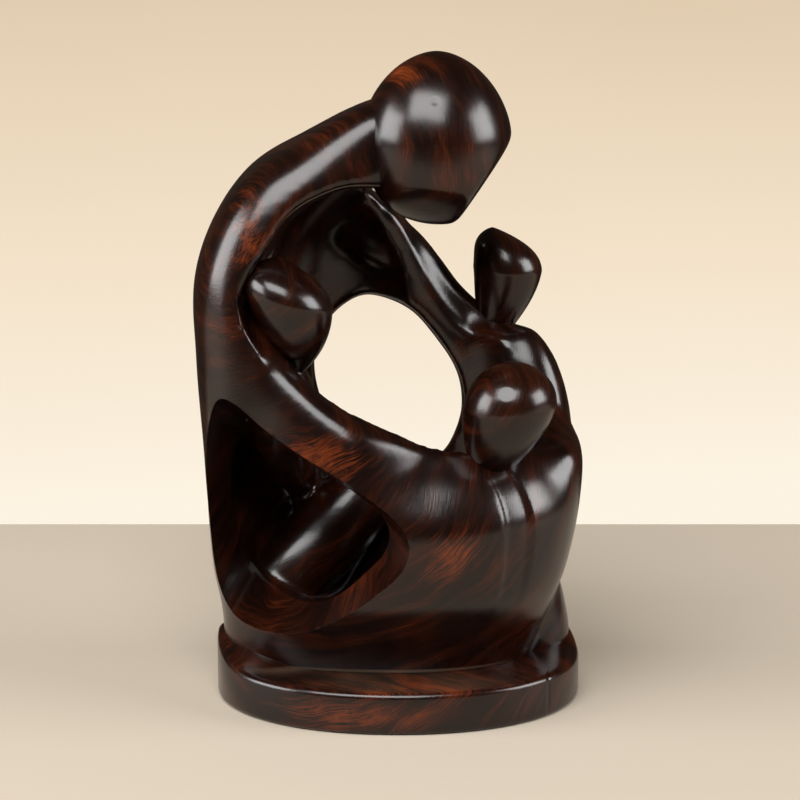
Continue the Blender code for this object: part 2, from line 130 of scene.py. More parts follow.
class Bench:
    """Where forms are made and worked on, one at a time."""

    @staticmethod
    def clear() -> None:
        """Leaves nothing selected, so an operator acts only on what is picked next."""
        if bpy.context.mode != "OBJECT":
            bpy.ops.object.mode_set(mode="OBJECT")
        bpy.ops.object.select_all(action="DESELECT")

    @staticmethod
    def pick(*things: bpy.types.Object) -> None:
        """Selects the given objects alone, the first as the active one."""
        Bench.clear()
        for thing in things:
            thing.select_set(True)
        bpy.context.view_layer.objects.active = things[0]

    @staticmethod
    def points(thing: bpy.types.Object) -> np.ndarray:
        """The places of an object's vertices, a row each."""
        flat = np.empty(len(thing.data.vertices) * 3, np.float32)
        thing.data.vertices.foreach_get("co", flat)
        return flat.reshape(-1, 3).astype(float)

    @staticmethod
    def put_points(thing: bpy.types.Object, points: np.ndarray) -> None:
        """Moves an object's vertices to the given places."""
        thing.data.vertices.foreach_set("co", np.asarray(points, np.float32).ravel())
        thing.data.update()

    @staticmethod
    def outward(thing: bpy.types.Object) -> bpy.types.Object:
        """Turns a closed form's faces outward."""
        Bench.pick(thing)
        bpy.ops.object.mode_set(mode="EDIT")
        bpy.ops.mesh.select_all(action="SELECT")
        bpy.ops.mesh.normals_make_consistent(inside=False)
        bpy.ops.object.mode_set(mode="OBJECT")
        return thing

    @staticmethod
    def ball(name: str, segments: int, rings: int, form: Form) -> bpy.types.Object:
        """Adds a sphere and moves its points to a form.

        Args:
            name: the new object's name.
            segments: columns round the sphere.
            rings: rows from pole to pole.
            form: gives each point's place from its longitude and its share from pole to pole.

        Returns:
            The closed form, its faces outward.
        """
        Bench.clear()
        bpy.ops.mesh.primitive_uv_sphere_add(segments=segments, ring_count=rings, radius=1)
        thing = bpy.context.object
        thing.name = name
        where = Bench.points(thing)
        longitude = np.arctan2(where[:, 1], where[:, 0])
        share = np.arccos(np.clip(where[:, 2], -1, 1)) / math.pi
        Bench.put_points(thing, form(longitude, share))
        return Bench.outward(thing)

    @staticmethod
    def modify(thing: bpy.types.Object, kind: str, **settings: object) -> bpy.types.Object:
        """Adds one modifier, sets it and applies it.

        Args:
            thing: the object to work on.
            kind: the modifier's type.
            **settings: the modifier's own settings.

        Returns:
            The same object.
        """
        Bench.pick(thing)
        bpy.ops.object.modifier_add(type=kind)
        modifier = thing.modifiers[-1]
        for key, value in settings.items():
            setattr(modifier, key, value)
        bpy.ops.object.modifier_apply(modifier=modifier.name)
        return thing

    @staticmethod
    def combine(thing: bpy.types.Object, other: bpy.types.Object, cut: Cut) -> bpy.types.Object:
        """Joins another closed form to this one or cuts it away; the other is used up."""
        Bench.modify(thing, "BOOLEAN", object=other, operation=cut.value, solver="EXACT")
        bpy.data.objects.remove(other)
        return thing

    @staticmethod
    def fuse(name: str, things: Sequence[bpy.types.Object], spacing: float) -> bpy.types.Object:
        """Grows several overlapping forms together into one skin.

        Args:
            name: the new skin's name.
            things: the forms, which are used up.
            spacing: the distance between the skin's points, in metres.

        Returns:
            The skin.
        """
        Bench.pick(*things)
        if len(things) > 1:
            bpy.ops.object.join()
        skin = bpy.context.object
        skin.name = name
        return Bench.modify(skin, "REMESH", mode="VOXEL", voxel_size=spacing)


# The carving


@dataclass
class Carving:
    """The mother, her arms, her three children and the plinth, all of one block.

    Lengths of the carving are in units of 1/186 of the figure's height, heights count from the plinth's top,
    x runs to the right and y to the back.
    """

    figure_height: float = 0.186
    plinth_width: float = 0.112
    plinth_depth: float = 0.090
    plinth_thickness: float = 0.013
    plinth_edge: float = 0.0018
    wall: float = 0.015
    floor: float = 0.015
    spacing: float = 0.00118
    blend_passes: int = 17
    crisp_angle: float = 38
    ring_squareness: float = 2.15
    plinth_squareness: float = 2.12
    cut_drop: float = -math.tan(math.radians(13))
    ridge: float = 0.4
    ripple: float = 0.10
    channel_sides: tuple[float, float] = (-55.0, -44.5)
    channel_heights: tuple[float, float] = (14.0, 74.0)
    channel_depth: float = 1.0
    shoulder_sides: tuple[float, float, float, float] = (-104, -80, -32, -12)
    shoulder_heights: tuple[float, float] = (45, 67)
    shoulder_curve: float = 0.02
    unit: float = field(init=False)

    # The ring's outer side: height, then its reach to the right, left, front and back.
    RING_OUTSIDE = (
        (-5, 38.5, 54, 23, 40),
        (4, 41.5, 54, 26.5, 41),
        (14, 46.5, 54.5, 33, 43),
        (27, 51.5, 57, 41.3, 45),
        (43, 55, 58.2, 43.8, 46),
        (60, 56.6, 59, 42.8, 46),
        (77, 55.5, 60, 40.5, 45.5),
        (95, 53.5, 61, 38, 44),
        (115, 45, 61, 33, 41),
        (135, 36, 55, 27, 37),
        (155, 28, 40, 22, 32),
    )
    # The ring's top: direction in degrees from the right towards the back, outer and inner height.
    RING_TOP = (
        (-180, 120, 120), (-160, 117, 116), (-145, 111, 110), (-136, 106, 104.5), (-129, 100.3, 99),
        (-123, 94.8, 94), (-116, 89.5, 88.6), (-109, 84.4, 84), (-101, 79.7, 80.2),
        (-93, 75.8, 76.8), (-84, 71.2, 73.4), (-75, 67.5, 71.4), (-60, 65.8, 69.5), (-40, 65.8, 68),
        (-15, 67, 67.5), (0, 69, 68.5), (13, 72, 70.5), (21, 79, 77), (27, 88, 85), (35, 96.5, 94),
        (46, 99, 96), (58, 98, 96), (63, 101.5, 100), (68, 106, 104.5), (74, 113, 112),
        (81, 123.5, 122), (87, 131, 129), (93, 136.5, 134), (100, 142, 139), (110, 147, 144),
        (125, 147, 144), (150, 134, 132), (180, 120, 120),
    )

    def __post_init__(self) -> None:
        """Works out the unit that the carving is given in."""
        self.unit = self.figure_height / 186

    def lifted(self, points: np.ndarray) -> np.ndarray:
        """Carving units above the plinth's top, as metres above the underside."""
        return np.asarray(points, float) * self.unit + (0, 0, self.plinth_thickness)

    def limb(
        self,
        name: str,
        stations: Rows,
        across_towards: Numbers,
        bluntness: float = 5,
        squareness: float = 2.3,
    ) -> bpy.types.Object:
        """Makes a rounded limb along a line.

        Args:
            name: the limb's name.
            stations: rows of x, y, z, half the width across and half the thickness through.
            across_towards: the direction that its width lies in.
            bluntness: how blunt its two ends are.
            squareness: how square its section is, 2 being an ellipse.

        Returns:
            The limb, as a closed form.
        """

        def form(longitude: np.ndarray, share: np.ndarray) -> np.ndarray:
            """The limb's surface, wound round its line."""
            rows = smooth_rows(stations, share)
            ahead = smooth_rows(stations, share + 0.01)[:, :3]
            behind = smooth_rows(stations, share - 0.01)[:, :3]
            run = (ahead - behind) / np.linalg.norm(ahead - behind, axis=1, keepdims=True)
            towards = np.array(across_towards, float)
            across = towards - run * (run @ towards)[:, None]
            across /= np.linalg.norm(across, axis=1, keepdims=True)
            through = np.cross(run, across)
            end = (1 - np.abs(2 * share - 1) ** bluntness) ** (1 / bluntness)
            c = rounded(np.cos(longitude), squareness)
            s = rounded(np.sin(longitude), squareness)
            points = rows[:, :3] + across * (rows[:, 3] * end * c)[:, None]
            points += through * (rows[:, 4] * end * s)[:, None]
            return self.lifted(points)

        return Bench.ball(name, 56, 64, form)

    def child_head(
        self,
        name: str,
        line: Rows,
        half_width: float,
        neck_width: float,
        tilt: float,
        fullness: float,
        doming: float,
    ) -> bpy.types.Object:
        """Makes a drop-shaped head: a dome over a soft ridge, then a long taper to the neck.

        Args:
            name: the head's name.
            line: its crown, its widest place and its neck.
            half_width: half its width at the ridge.
            neck_width: half its width at the neck.
            tilt: how far its ridge leans, in degrees.
            fullness: how full the taper is.
            doming: how the dome closes, 0.5 being a ball's way and 1 a pointed one.

        Returns:
            The head, as a closed form.
        """
        marks = np.array(line, float)
        dome = float(np.linalg.norm(marks[1] - marks[0]))
        whole = dome + float(np.linalg.norm(marks[2] - marks[1]))
        across = np.array((math.cos(math.radians(tilt)), 0, math.sin(math.radians(tilt))))

        def form(longitude: np.ndarray, share: np.ndarray) -> np.ndarray:
            """The head's surface, turned round its line."""
            along = whole * (1 - np.cos(math.pi * share)) / 2
            centre = smooth_rows(marks, np.interp(along, (0, dome, whole), (0, 0.5, 1)))
            up = np.clip(1 - along / dome, 0, 1)
            down = np.clip((along - dome) / (whole - dome), 0, 1)
            taper = neck_width + (half_width - neck_width) * (1 - down**2) ** fullness
            radius = np.where(along < dome, half_width * (1 - up**2) ** doming, taper)
            radius += np.where(up < 1, self.ridge * np.exp(-np.abs(along - dome) / 3), 0)
            radius = np.where(share > 0.999, 0, radius)
            points = centre + across * (radius * np.cos(longitude))[:, None]
            points[:, 1] += radius * np.sin(longitude)
            return self.lifted(points)

        return Bench.ball(name, 84, 72, form)

    def mother_head(self) -> bpy.types.Object:
        """Makes the mother's head, an egg with a pointed crown, pressed flat beside the face and under it."""
        centre = np.array((11.4, -2, 159.6))
        wide, deep, above, below = 22.6, 21.5, 26.2, 26.5
        crown_squareness = 1.8
        chin_squareness = 2.4
        # Each flat: the way it faces, its distance from the centre and the softness of its edge.
        flats = (((0.83, -0.1, -0.55), 16.3, 3.0), ((-0.1, -0.55, -0.83), 18.6, 3.4))

        def form(longitude: np.ndarray, share: np.ndarray) -> np.ndarray:
            """The egg's surface, pressed to its two flats."""
            level, up = np.sin(math.pi * share), np.cos(math.pi * share)
            level = np.where(up > 0, rounded(level, crown_squareness), level)
            height = np.where(up > 0, above * rounded(up, crown_squareness), below * up)
            chin = (1 - np.abs(up) ** chin_squareness) ** (1 / chin_squareness)
            x = wide * level * np.cos(longitude)
            y = deep * np.where(up > 0, level, chin) * np.sin(longitude)
            points = np.stack([x, y, height], axis=1)
            for way, reach, softness in flats:
                points = pressed(points, way, reach, softness)
            return self.lifted(centre + points)

        return Bench.ball("mother_head", 112, 84, form)

    def heads(self) -> list[bpy.types.Object]:
        """Makes the four heads, the mother's first."""
        first = ((-35.0, -20, 127.2), (-32.6, -20, 114.8), (-29.5, -18.5, 92))
        second = ((29.5, 34, 126.8), (34.3, 34, 113.8), (29.5, 33, 90))
        third = ((33.3, -24, 96.2), (33.1, -24, 82.5), (28.5, -21, 62))
        return [
            self.mother_head(),
            self.child_head("first_child_head", first, 13.1, 1.0, -12, 1.0, 0.85),
            self.child_head("second_child_head", second, 10.4, 2.5, -3, 1.1, 0.75),
            self.child_head("third_child_head", third, 13.7, 5.0, 3, 1.0, 0.52),
        ]

    def ring_point(self, angle: np.ndarray, height: np.ndarray, inset: np.ndarray) -> np.ndarray:
        """Finds a point on the ring's side.

        Args:
            angle: its direction, from the right towards the back.
            height: its height.
            inset: how far inside the outer face it lies.

        Returns:
            The points' places, in carving units.
        """
        right, left, front, back = read_keys(self.RING_OUTSIDE, height).T
        c, s = np.cos(angle), np.sin(angle)
        x = (np.where(c > 0, right, left) - inset) * rounded(c, self.ring_squareness)
        y = (np.where(s > 0, back, front) - inset) * rounded(s, self.ring_squareness)
        return np.stack([x, y, height], axis=-1)

    def shoulder_lean(self, angle: np.ndarray, height: np.ndarray) -> np.ndarray:
        """How far the third child's shoulder leans in from the ring's outer side."""
        first, whole, still_whole, last = self.shoulder_sides
        foot, top = self.shoulder_heights
        direction = np.degrees(angle)
        share = ease(direction, first, whole) * (1 - ease(direction, still_whole, last))
        return share * self.shoulder_curve * np.clip(height - foot, 0, top - foot) ** 2

    def ring(self) -> bpy.types.Object:
        """Makes the joined arms and bodies: a bowl whose wall rises and falls around it."""
        wall = self.wall / self.unit
        floor = self.floor / self.unit
        reach = wall + 9
        middle = reach + 36
        # Share of the way over the wall, height as a share of the wall's, inset from the outer face.
        section = (
            (0.00, 0.0, middle),
            (0.08, 0.0, 4),
            (0.12, 0.05, 0),
            (0.22, 0.33, 0),
            (0.33, 0.65, 0),
            (0.41, 0.90, 0),
            (0.45, 0.97, 1.2),
            (0.475, 0.995, 3),
            (0.50, 1.0, 5.5),
            (0.53, 1.0, wall - 2),
            (0.56, 0.95, wall),
            (0.68, 0.62, wall + 1),
            (0.80, 0.30, wall + 3),
            (0.92, 0.06, reach),
            (1.00, 0.0, middle),
        )

        def form(longitude: np.ndarray, share: np.ndarray) -> np.ndarray:
            """The bowl's surface, from under its middle over the wall and back to its middle."""
            outer, inner = read_keys(self.RING_TOP, np.degrees(longitude)).T
            height_share, inset = read_keys(section, share).T
            top = outer + (inner - outer) * np.clip(inset / (wall - 2), 0, 1)
            base = np.where(share < 0.5, self.RING_OUTSIDE[0][0], floor)
            height = base + (top - base) * np.clip(height_share, 0, 1)
            lean = self.shoulder_lean(longitude, height) * np.clip(1 - inset / wall, 0, 1)
            points = self.ring_point(longitude, height, np.clip(inset + lean, 0, reach))
            points[:, :2] *= np.clip((middle - inset) / (middle - reach), 0, 1)[:, None]
            return self.lifted(points)

        return Bench.ball("ring", 128, 120, form)

    def hood(self) -> bpy.types.Object:
        """Makes the mother's back, bent over to her neck."""
        stations = (
            (-32, 2, 8, 28, 22.5),
            (-34, 2, 40, 32, 24.3),
            (-35, 2, 70, 34, 24.6),
            (-36, 2, 98, 33, 25.3),
            (-36, 2, 118, 31, 25),
            (-31, 2, 135, 28, 21),
            (-19, 1, 148, 22, 16),
            (-6, 0, 158.5, 16, 13.2),
            (6, 0, 164, 14, 13),
        )
        return self.limb("hood", stations, (0, 1, 0), squareness=3.1)

    def far_arm(self) -> bpy.types.Object:
        """Makes the arm laid along the inside of the far wall, down to the second child."""
        stations = (
            (-20, 33, 125, 6, 4),
            (-11, 33, 126, 9.5, 6),
            (0, 34, 120, 8.5, 7),
            (9, 35, 112, 6.5, 6.5),
            (16, 35, 105, 5, 6),
            (23, 34, 98, 5.5, 6),
            (31, 30, 90, 8, 7),
            (38, 26, 80, 9, 8),
        )
        return self.limb("far_arm", stations, (0.6, 0, 0.8), bluntness=4)

    def second_child_body(self) -> bpy.types.Object:
        """Makes the broad back of the second child, spreading to the plinth's rim."""
        stations = (
            (39.5, 11, -10, 16, 16),
            (39.5, 12, 2, 15, 16),
            (39.5, 15, 12, 12.8, 16),
            (39, 19, 24, 10.5, 15),
            (41, 22, 44, 10, 13),
            (43, 22, 64, 11.5, 12),
            (41, 24, 82, 10, 10),
            (35.5, 27, 96, 8, 8),
        )
        return self.limb("second_child_body", stations, (1, 0, 0))

    def third_child_body(self) -> bpy.types.Object:
        """Makes what fills the ring's wall out to carry the third child's head."""
        stations = (
            (22, -10, -5, 11, 8),
            (26, -13, 20, 14, 10),
            (31, -16.5, 42, 17, 13),
            (32, -18.5, 56, 15, 10.5),
            (31.5, -19.5, 66, 10, 6.5),
        )
        return self.limb("third_child_body", stations, (0.82, 0.57, 0), bluntness=4)

    def first_child_body(self) -> bpy.types.Object:
        """Makes the body of the first child, a tapering drop laid against the mother's lap."""
        stations = (
            (-31, -17, 94, 3.5, 4),
            (-33, -8, 84, 8.5, 8),
            (-36.5, 3, 72, 9.5, 9),
            (-35.5, 14, 60, 8, 9),
            (-31, 24, 49, 5.5, 8),
            (-25.5, 40, 29, 3, 5),
        )
        return self.limb("first_child_body", stations, (1, 0, 0), bluntness=4)

    def lap(self) -> bpy.types.Object:
        """Makes the mother's thigh, which crosses the hollow from the near left up to the far wall."""
        stations = (
            (-40, 10, 11, 11, 11),
            (-33, 14, 20, 13, 12.5),
            (-22, 20, 31.5, 13.5, 12.5),
            (-12, 25, 42, 12, 11.5),
            (-3, 30, 48, 10, 8),
        )
        return self.limb("lap", stations, (0, 1, 0), bluntness=4)

    def hollow(self) -> bpy.types.Object:
        """Makes the space inside the embrace, which is cut away."""
        stations = (
            (-14, 2, 13, 16, 18),
            (-14, 2, 24, 30, 31),
            (-15, 2, 40, 33, 37),
            (-15, 2, 56, 33, 36.5),
            (-15, 3, 72, 31, 33),
            (-15, 3, 88, 30, 29),
            (-16, 3, 106, 31, 27),
            (-16, 3, 124, 29, 21),
            (-12, 3, 138, 20, 14),
            (-8, 2, 147, 8, 8),
        )
        return self.limb("hollow", stations, (0, 1, 0), bluntness=4)

    def swept_cutter(
        self,
        name: str,
        rim: Rows,
        reach: tuple[float, float],
        slope: tuple[float, float],
        taper: float = 0.0,
        count: int = 96,
    ) -> bpy.types.Object:
        """Makes a cutter: a smooth closed line filled, pulled through the wood and narrowed.

        Args:
            name: the cutter's name.
            rim: points of the opening's rim.
            reach: how far the cutter goes in front of the rim and behind it.
            slope: how far it shifts in x and z for each unit towards the back.
            taper: how much it narrows for each unit towards the back.
            count: points round it.

        Returns:
            The cutter, as a closed form.
        """
        points = np.array(rim, float)
        around = np.vstack([points, points, points])
        places = (len(points) + np.arange(count) / count * len(points)) / (len(around) - 1)
        loop = smooth_rows(around, places)
        middle = loop.mean(axis=0)
        forward, back = reach
        way = np.array((slope[0], 1, slope[1]))

        def station(distance: float) -> np.ndarray:
            """The closed line at a distance behind the rim, with its middle as the last point."""
            moved = loop.copy()
            shrink = 1 - taper * distance
            moved[:, (0, 2)] = middle[[0, 2]] + (loop - middle)[:, (0, 2)] * shrink
            moved = self.lifted(moved + way * distance)
            return np.vstack([moved, moved.mean(axis=0)])

        Bench.clear()
        bpy.ops.mesh.primitive_circle_add(vertices=count, radius=1, fill_type="TRIFAN")
        cutter = bpy.context.object
        cutter.name = name
        centre = int(np.argmin(np.linalg.norm(Bench.points(cutter), axis=1)))
        order = [k for k in range(count + 1) if k != centre] + [centre]
        near = np.empty((count + 1, 3))
        near[order] = station(-forward)
        Bench.put_points(cutter, near)
        Bench.pick(cutter)
        bpy.ops.object.mode_set(mode="EDIT")
        bpy.ops.mesh.select_all(action="SELECT")
        step = station(back).mean(axis=0) - station(-forward).mean(axis=0)
        bpy.ops.mesh.extrude_region_move(TRANSFORM_OT_translate={"value": tuple(step)})
        narrow = (1 - taper * back) / (1 + taper * forward)
        bpy.ops.transform.resize(
            value=(narrow, 1, narrow), center_override=tuple(station(back)[-1])
        )
        bpy.ops.object.mode_set(mode="OBJECT")
        return Bench.outward(cutter)

    def mouth(self) -> bpy.types.Object:
        """Makes the cutter for the open side of the mother's embrace."""
        rim = (
            (-50, -27, -8), (-50, -27, 40), (-47.5, -27, 68), (-40, -27, 84), (-39.5, -27, 97),
            (-44.5, -27, 107), (-46.2, -27, 115.5), (-42.5, -27, 124), (-36, -25, 134.9),
            (-31.6, -24, 140.5), (-24, -21, 145), (-12, -18, 148), (6, -18, 145), (26, -18, 130),
            (30, -20, 90), (30, -20, 30), (26, -20, -8), (-8, -20, -14),
        )
        return self.swept_cutter("mouth", rim, (50, 26), (0, self.cut_drop))

    def window(self) -> bpy.types.Object:
        """Makes the cutter for the opening through the far wall."""
        depth = 34
        seen = (
            (-8.8, 105.6), (-16.7, 102.7), (-23.0, 96), (-26.5, 86), (-24.9, 73.0), (-18, 60), (-7, 51.5),
            (6, 50), (14.8, 55.0), (19.4, 64.8), (20.2, 73.0), (18.5, 81.1), (13.4, 89.8), (3.8, 100.8),
        )
        rim = [(x, depth, height) for x, height in seen]
        return self.swept_cutter("window", rim, (20, 30), (0, self.cut_drop))

    def teardrop(self) -> bpy.types.Object:
        """Makes the cutter for the opening under the near arm, its rim laid on the ring's outer face."""
        seen = (
            (-51.6, 77.7), (-46.7, 76.7), (-39.9, 70.7), (-28.7, 62.7), (-16.9, 55.3), (-8.2, 49.2),
            (-0.9, 43.1), (2.7, 37.7), (3.2, 32.5), (0.6, 26.3), (-6.8, 19.6), (-17.2, 12.4),
            (-29.2, 7.2), (-38.3, 7.2), (-44.5, 8.7), (-50.8, 13.2), (-54.9, 22), (-57.5, 41.9),
            (-56.8, 57.4), (-54.8, 70.0),
        )
        rim = [(x, *self.on_ring_front(x, height)) for x, height in seen]
        return self.swept_cutter("teardrop", rim, (30, 18), (0.06, -0.02), 0.014)

    def on_ring_front(self, x: float, seen_height: float) -> tuple[float, float]:
        """Finds where a line of sight meets the ring's outer face.

        Args:
            x: the line's place from left to right.
            seen_height: its height where it crosses the middle of the plinth.

        Returns:
            The point's y and its true height.
        """
        y = 0.0
        for _ in range(6):
            reach = read_keys(self.RING_OUTSIDE, np.array([seen_height + y * self.cut_drop]))[0]
            right, left, front, _ = reach
            across = abs(x) / (right if x > 0 else left)
            inner = max(1 - across**self.ring_squareness, 0.02)
            y = -front * inner ** (1 / self.ring_squareness)
        return y, seen_height + y * self.cut_drop

    def carve_channel(self, body: bpy.types.Object) -> None:
        """Presses the shallow channel between the third child's shoulder blades."""
        where = Bench.points(body)
        place = (where - (0, 0, self.plinth_thickness)) / self.unit
        _, right, _, front, _ = self.RING_OUTSIDE[4]
        angle = np.degrees(np.arctan2(place[:, 1] / front, place[:, 0] / right))
        outer = np.hypot(place[:, 0] / (right - 11), place[:, 1] / (front - 10)) > 1
        low, high = self.channel_sides
        foot, top = self.channel_heights
        share = ease(angle, low - 1, low + 1.5) * (1 - ease(angle, high - 1.5, high + 1))
        share *= ease(place[:, 2], foot, foot + 30) * (1 - ease(place[:, 2], top - 8, top))
        inward = -where[:, :2] / np.linalg.norm(where[:, :2], axis=1, keepdims=True)
        where[:, :2] += inward * (self.channel_depth * self.unit * share * outer)[:, None]
        Bench.put_points(body, where)

    def swell(self, x: float, y: float) -> float:
        """How far the plinth's top rises at a place to meet the figure, in metres."""
        hills = ((-56, 4, 14, 14, 6.5), (-40, -8, 11, 10, 9), (44, 20, 14, 14, 8))
        total = 0.0
        for centre_x, centre_y, wide, deep, height in hills:
            away = ((x / self.unit - centre_x) / wide) ** 2 + ((y / self.unit - centre_y) / deep) ** 2
            total += height * math.exp(-away)
        return self.unit * total

    def plinth(self) -> bpy.types.Object:
        """Makes the oval plinth, its underside flat, its edges a little rounded and its top swelling."""
        edge = self.plinth_edge
        arc = [math.radians(angle) for angle in (0, 22.5, 45, 67.5, 90)]
        # Each row round the plinth: inset from the rim, share of the way out, height from below or the top.
        rows = [(0.0, 0.0, 0.0), (edge, 0.6, 0.0)]
        rows += [(edge * (1 - math.sin(a)), 1.0, edge * (1 - math.cos(a))) for a in arc]
        upper = len(rows)
        rows += [(0.0, 1.0, edge * 3 - self.plinth_thickness)]
        rows += [(edge * (1 - math.cos(a)), 1.0, -edge * (1 - math.sin(a))) for a in arc]
        shares = (0.94, 0.86, 0.78, 0.7, 0.6, 0.45, 0.25, 0.0)
        rows += [(0.0, out, 0.0) for out in shares]

        def form(longitude: np.ndarray, share: np.ndarray) -> np.ndarray:
            """The plinth's surface, from the middle of its underside to that of its top."""
            points = []
            for angle, place in zip(longitude, share):
                index = round(place * (len(rows) - 1))
                inset, out, height = rows[index]
                c = rounded(math.cos(angle), self.plinth_squareness)
                s = rounded(math.sin(angle), self.plinth_squareness)
                x = (self.plinth_width / 2 - inset) * out * c
                y = (self.plinth_depth / 2 - inset) * out * s
                if index >= upper:
                    height += self.plinth_thickness + self.swell(x, y)
                points.append((x, y, height))
            return np.array(points)

        return Bench.ball("plinth", 160, len(rows) - 1, form)

    def rippled(self, figure: bpy.types.Object) -> None:
        """Moves the surface by the faint unevenness that sanding by hand leaves."""
        where = Bench.points(figure)
        normals = np.empty(len(where) * 3, np.float32)
        figure.data.vertices.foreach_get("normal", normals)
        # The wave lengths of the broad and the fine waves, how far apart the two are read, and the fine share.
        broad_wave, fine_wave, apart = np.array(((17, 17, 23), (7, 7, 10), (40, 0, 0)), float)
        fine_share = 0.4
        # The underside stays flat: the waves begin at this height and are whole this much higher.
        flat, rise = 0.0008, 0.004
        shift = []
        for point in where / self.unit:
            broad = noise.noise(Vector(point / broad_wave))
            fine = noise.noise(Vector(point / fine_wave + apart))
            shift.append((broad + fine_share * fine) * self.ripple * self.unit)
        above = np.clip((where[:, 2] - flat) / rise, 0, 1)
        moved = where + normals.reshape(-1, 3) * (np.array(shift) * above)[:, None]
        Bench.put_points(figure, moved)

    def build(self) -> bpy.types.Object:
        """Carves the whole figure.

        Returns:
            One closed piece, shaded smooth but for its crisp rims.
        """
        back = Bench.fuse("back", [self.hood()], self.spacing)
        Bench.combine(back, self.mouth(), Cut.AWAY)
        bodies = [back, self.ring(), self.third_child_body(), self.second_child_body()]
        body = Bench.fuse("body", bodies, self.spacing)
        Bench.combine(body, self.hollow(), Cut.AWAY)
        Bench.combine(body, self.window(), Cut.AWAY)
        laid = [body, self.far_arm(), self.lap(), self.first_child_body()]
        figure = Bench.fuse("carved_mother_and_children", laid, self.spacing)
        Bench.modify(figure, "SMOOTH", factor=0.5, iterations=self.blend_passes)
        self.carve_channel(figure)
        Bench.combine(figure, self.teardrop(), Cut.AWAY)
        for head in self.heads():
            Bench.combine(figure, head, Cut.JOIN)
        Bench.combine(figure, self.plinth(), Cut.JOIN)
        self.rippled(figure)
        Bench.pick(figure)
        bpy.ops.object.shade_smooth_by_angle(angle=math.radians(self.crisp_angle))
        return figure


# Shader expressions


class Shade:
    """A shader value that takes part in Python expressions."""

    def __init__(self, recipe: "Recipe", socket: bpy.types.NodeSocket) -> None:
        """Wraps one output socket of a recipe's node."""
        self.recipe = recipe
        self.socket = socket

    def maths(self, operation: str, *values: "Shade | float") -> "Shade":
        """Adds one Math node that works on the given values."""
        return self.recipe.node("Math", {"operation": operation}, dict(enumerate(values)))

    def __add__(self, other: "Shade | float") -> "Shade":
        """The sum of two values."""
        return self.maths("ADD", self, other)

    __radd__ = __add__

    def __sub__(self, other: "Shade | float") -> "Shade":
        """This value less another."""
        return self.maths("SUBTRACT", self, other)

    def __rsub__(self, other: float) -> "Shade":
        """A number less this value."""
        return self.maths("SUBTRACT", other, self)

    def __mul__(self, other: "Shade | float") -> "Shade":
        """The product of two values."""
        return self.maths("MULTIPLY", self, other)

    __rmul__ = __mul__

    def __truediv__(self, other: "Shade | float") -> "Shade":
        """This value divided by another."""
        return self.maths("DIVIDE", self, other)

    def __pow__(self, power: float) -> "Shade":
        """This value raised to a power."""
        return self.maths("POWER", self, power)

    def most(self, other: "Shade | float") -> "Shade":
        """The greater of two values."""
        return self.maths("MAXIMUM", self, other)

    def between(self, low: float, high: float) -> "Shade":
        """Rises smoothly from 0 where this value is low to 1 where it is high."""
        settings = {"interpolation_type": "SMOOTHSTEP", "clamp": True}
        inputs = {"Value": self, "From Min": low, "From Max": high}
        return self.recipe.node("MapRange", settings, inputs)


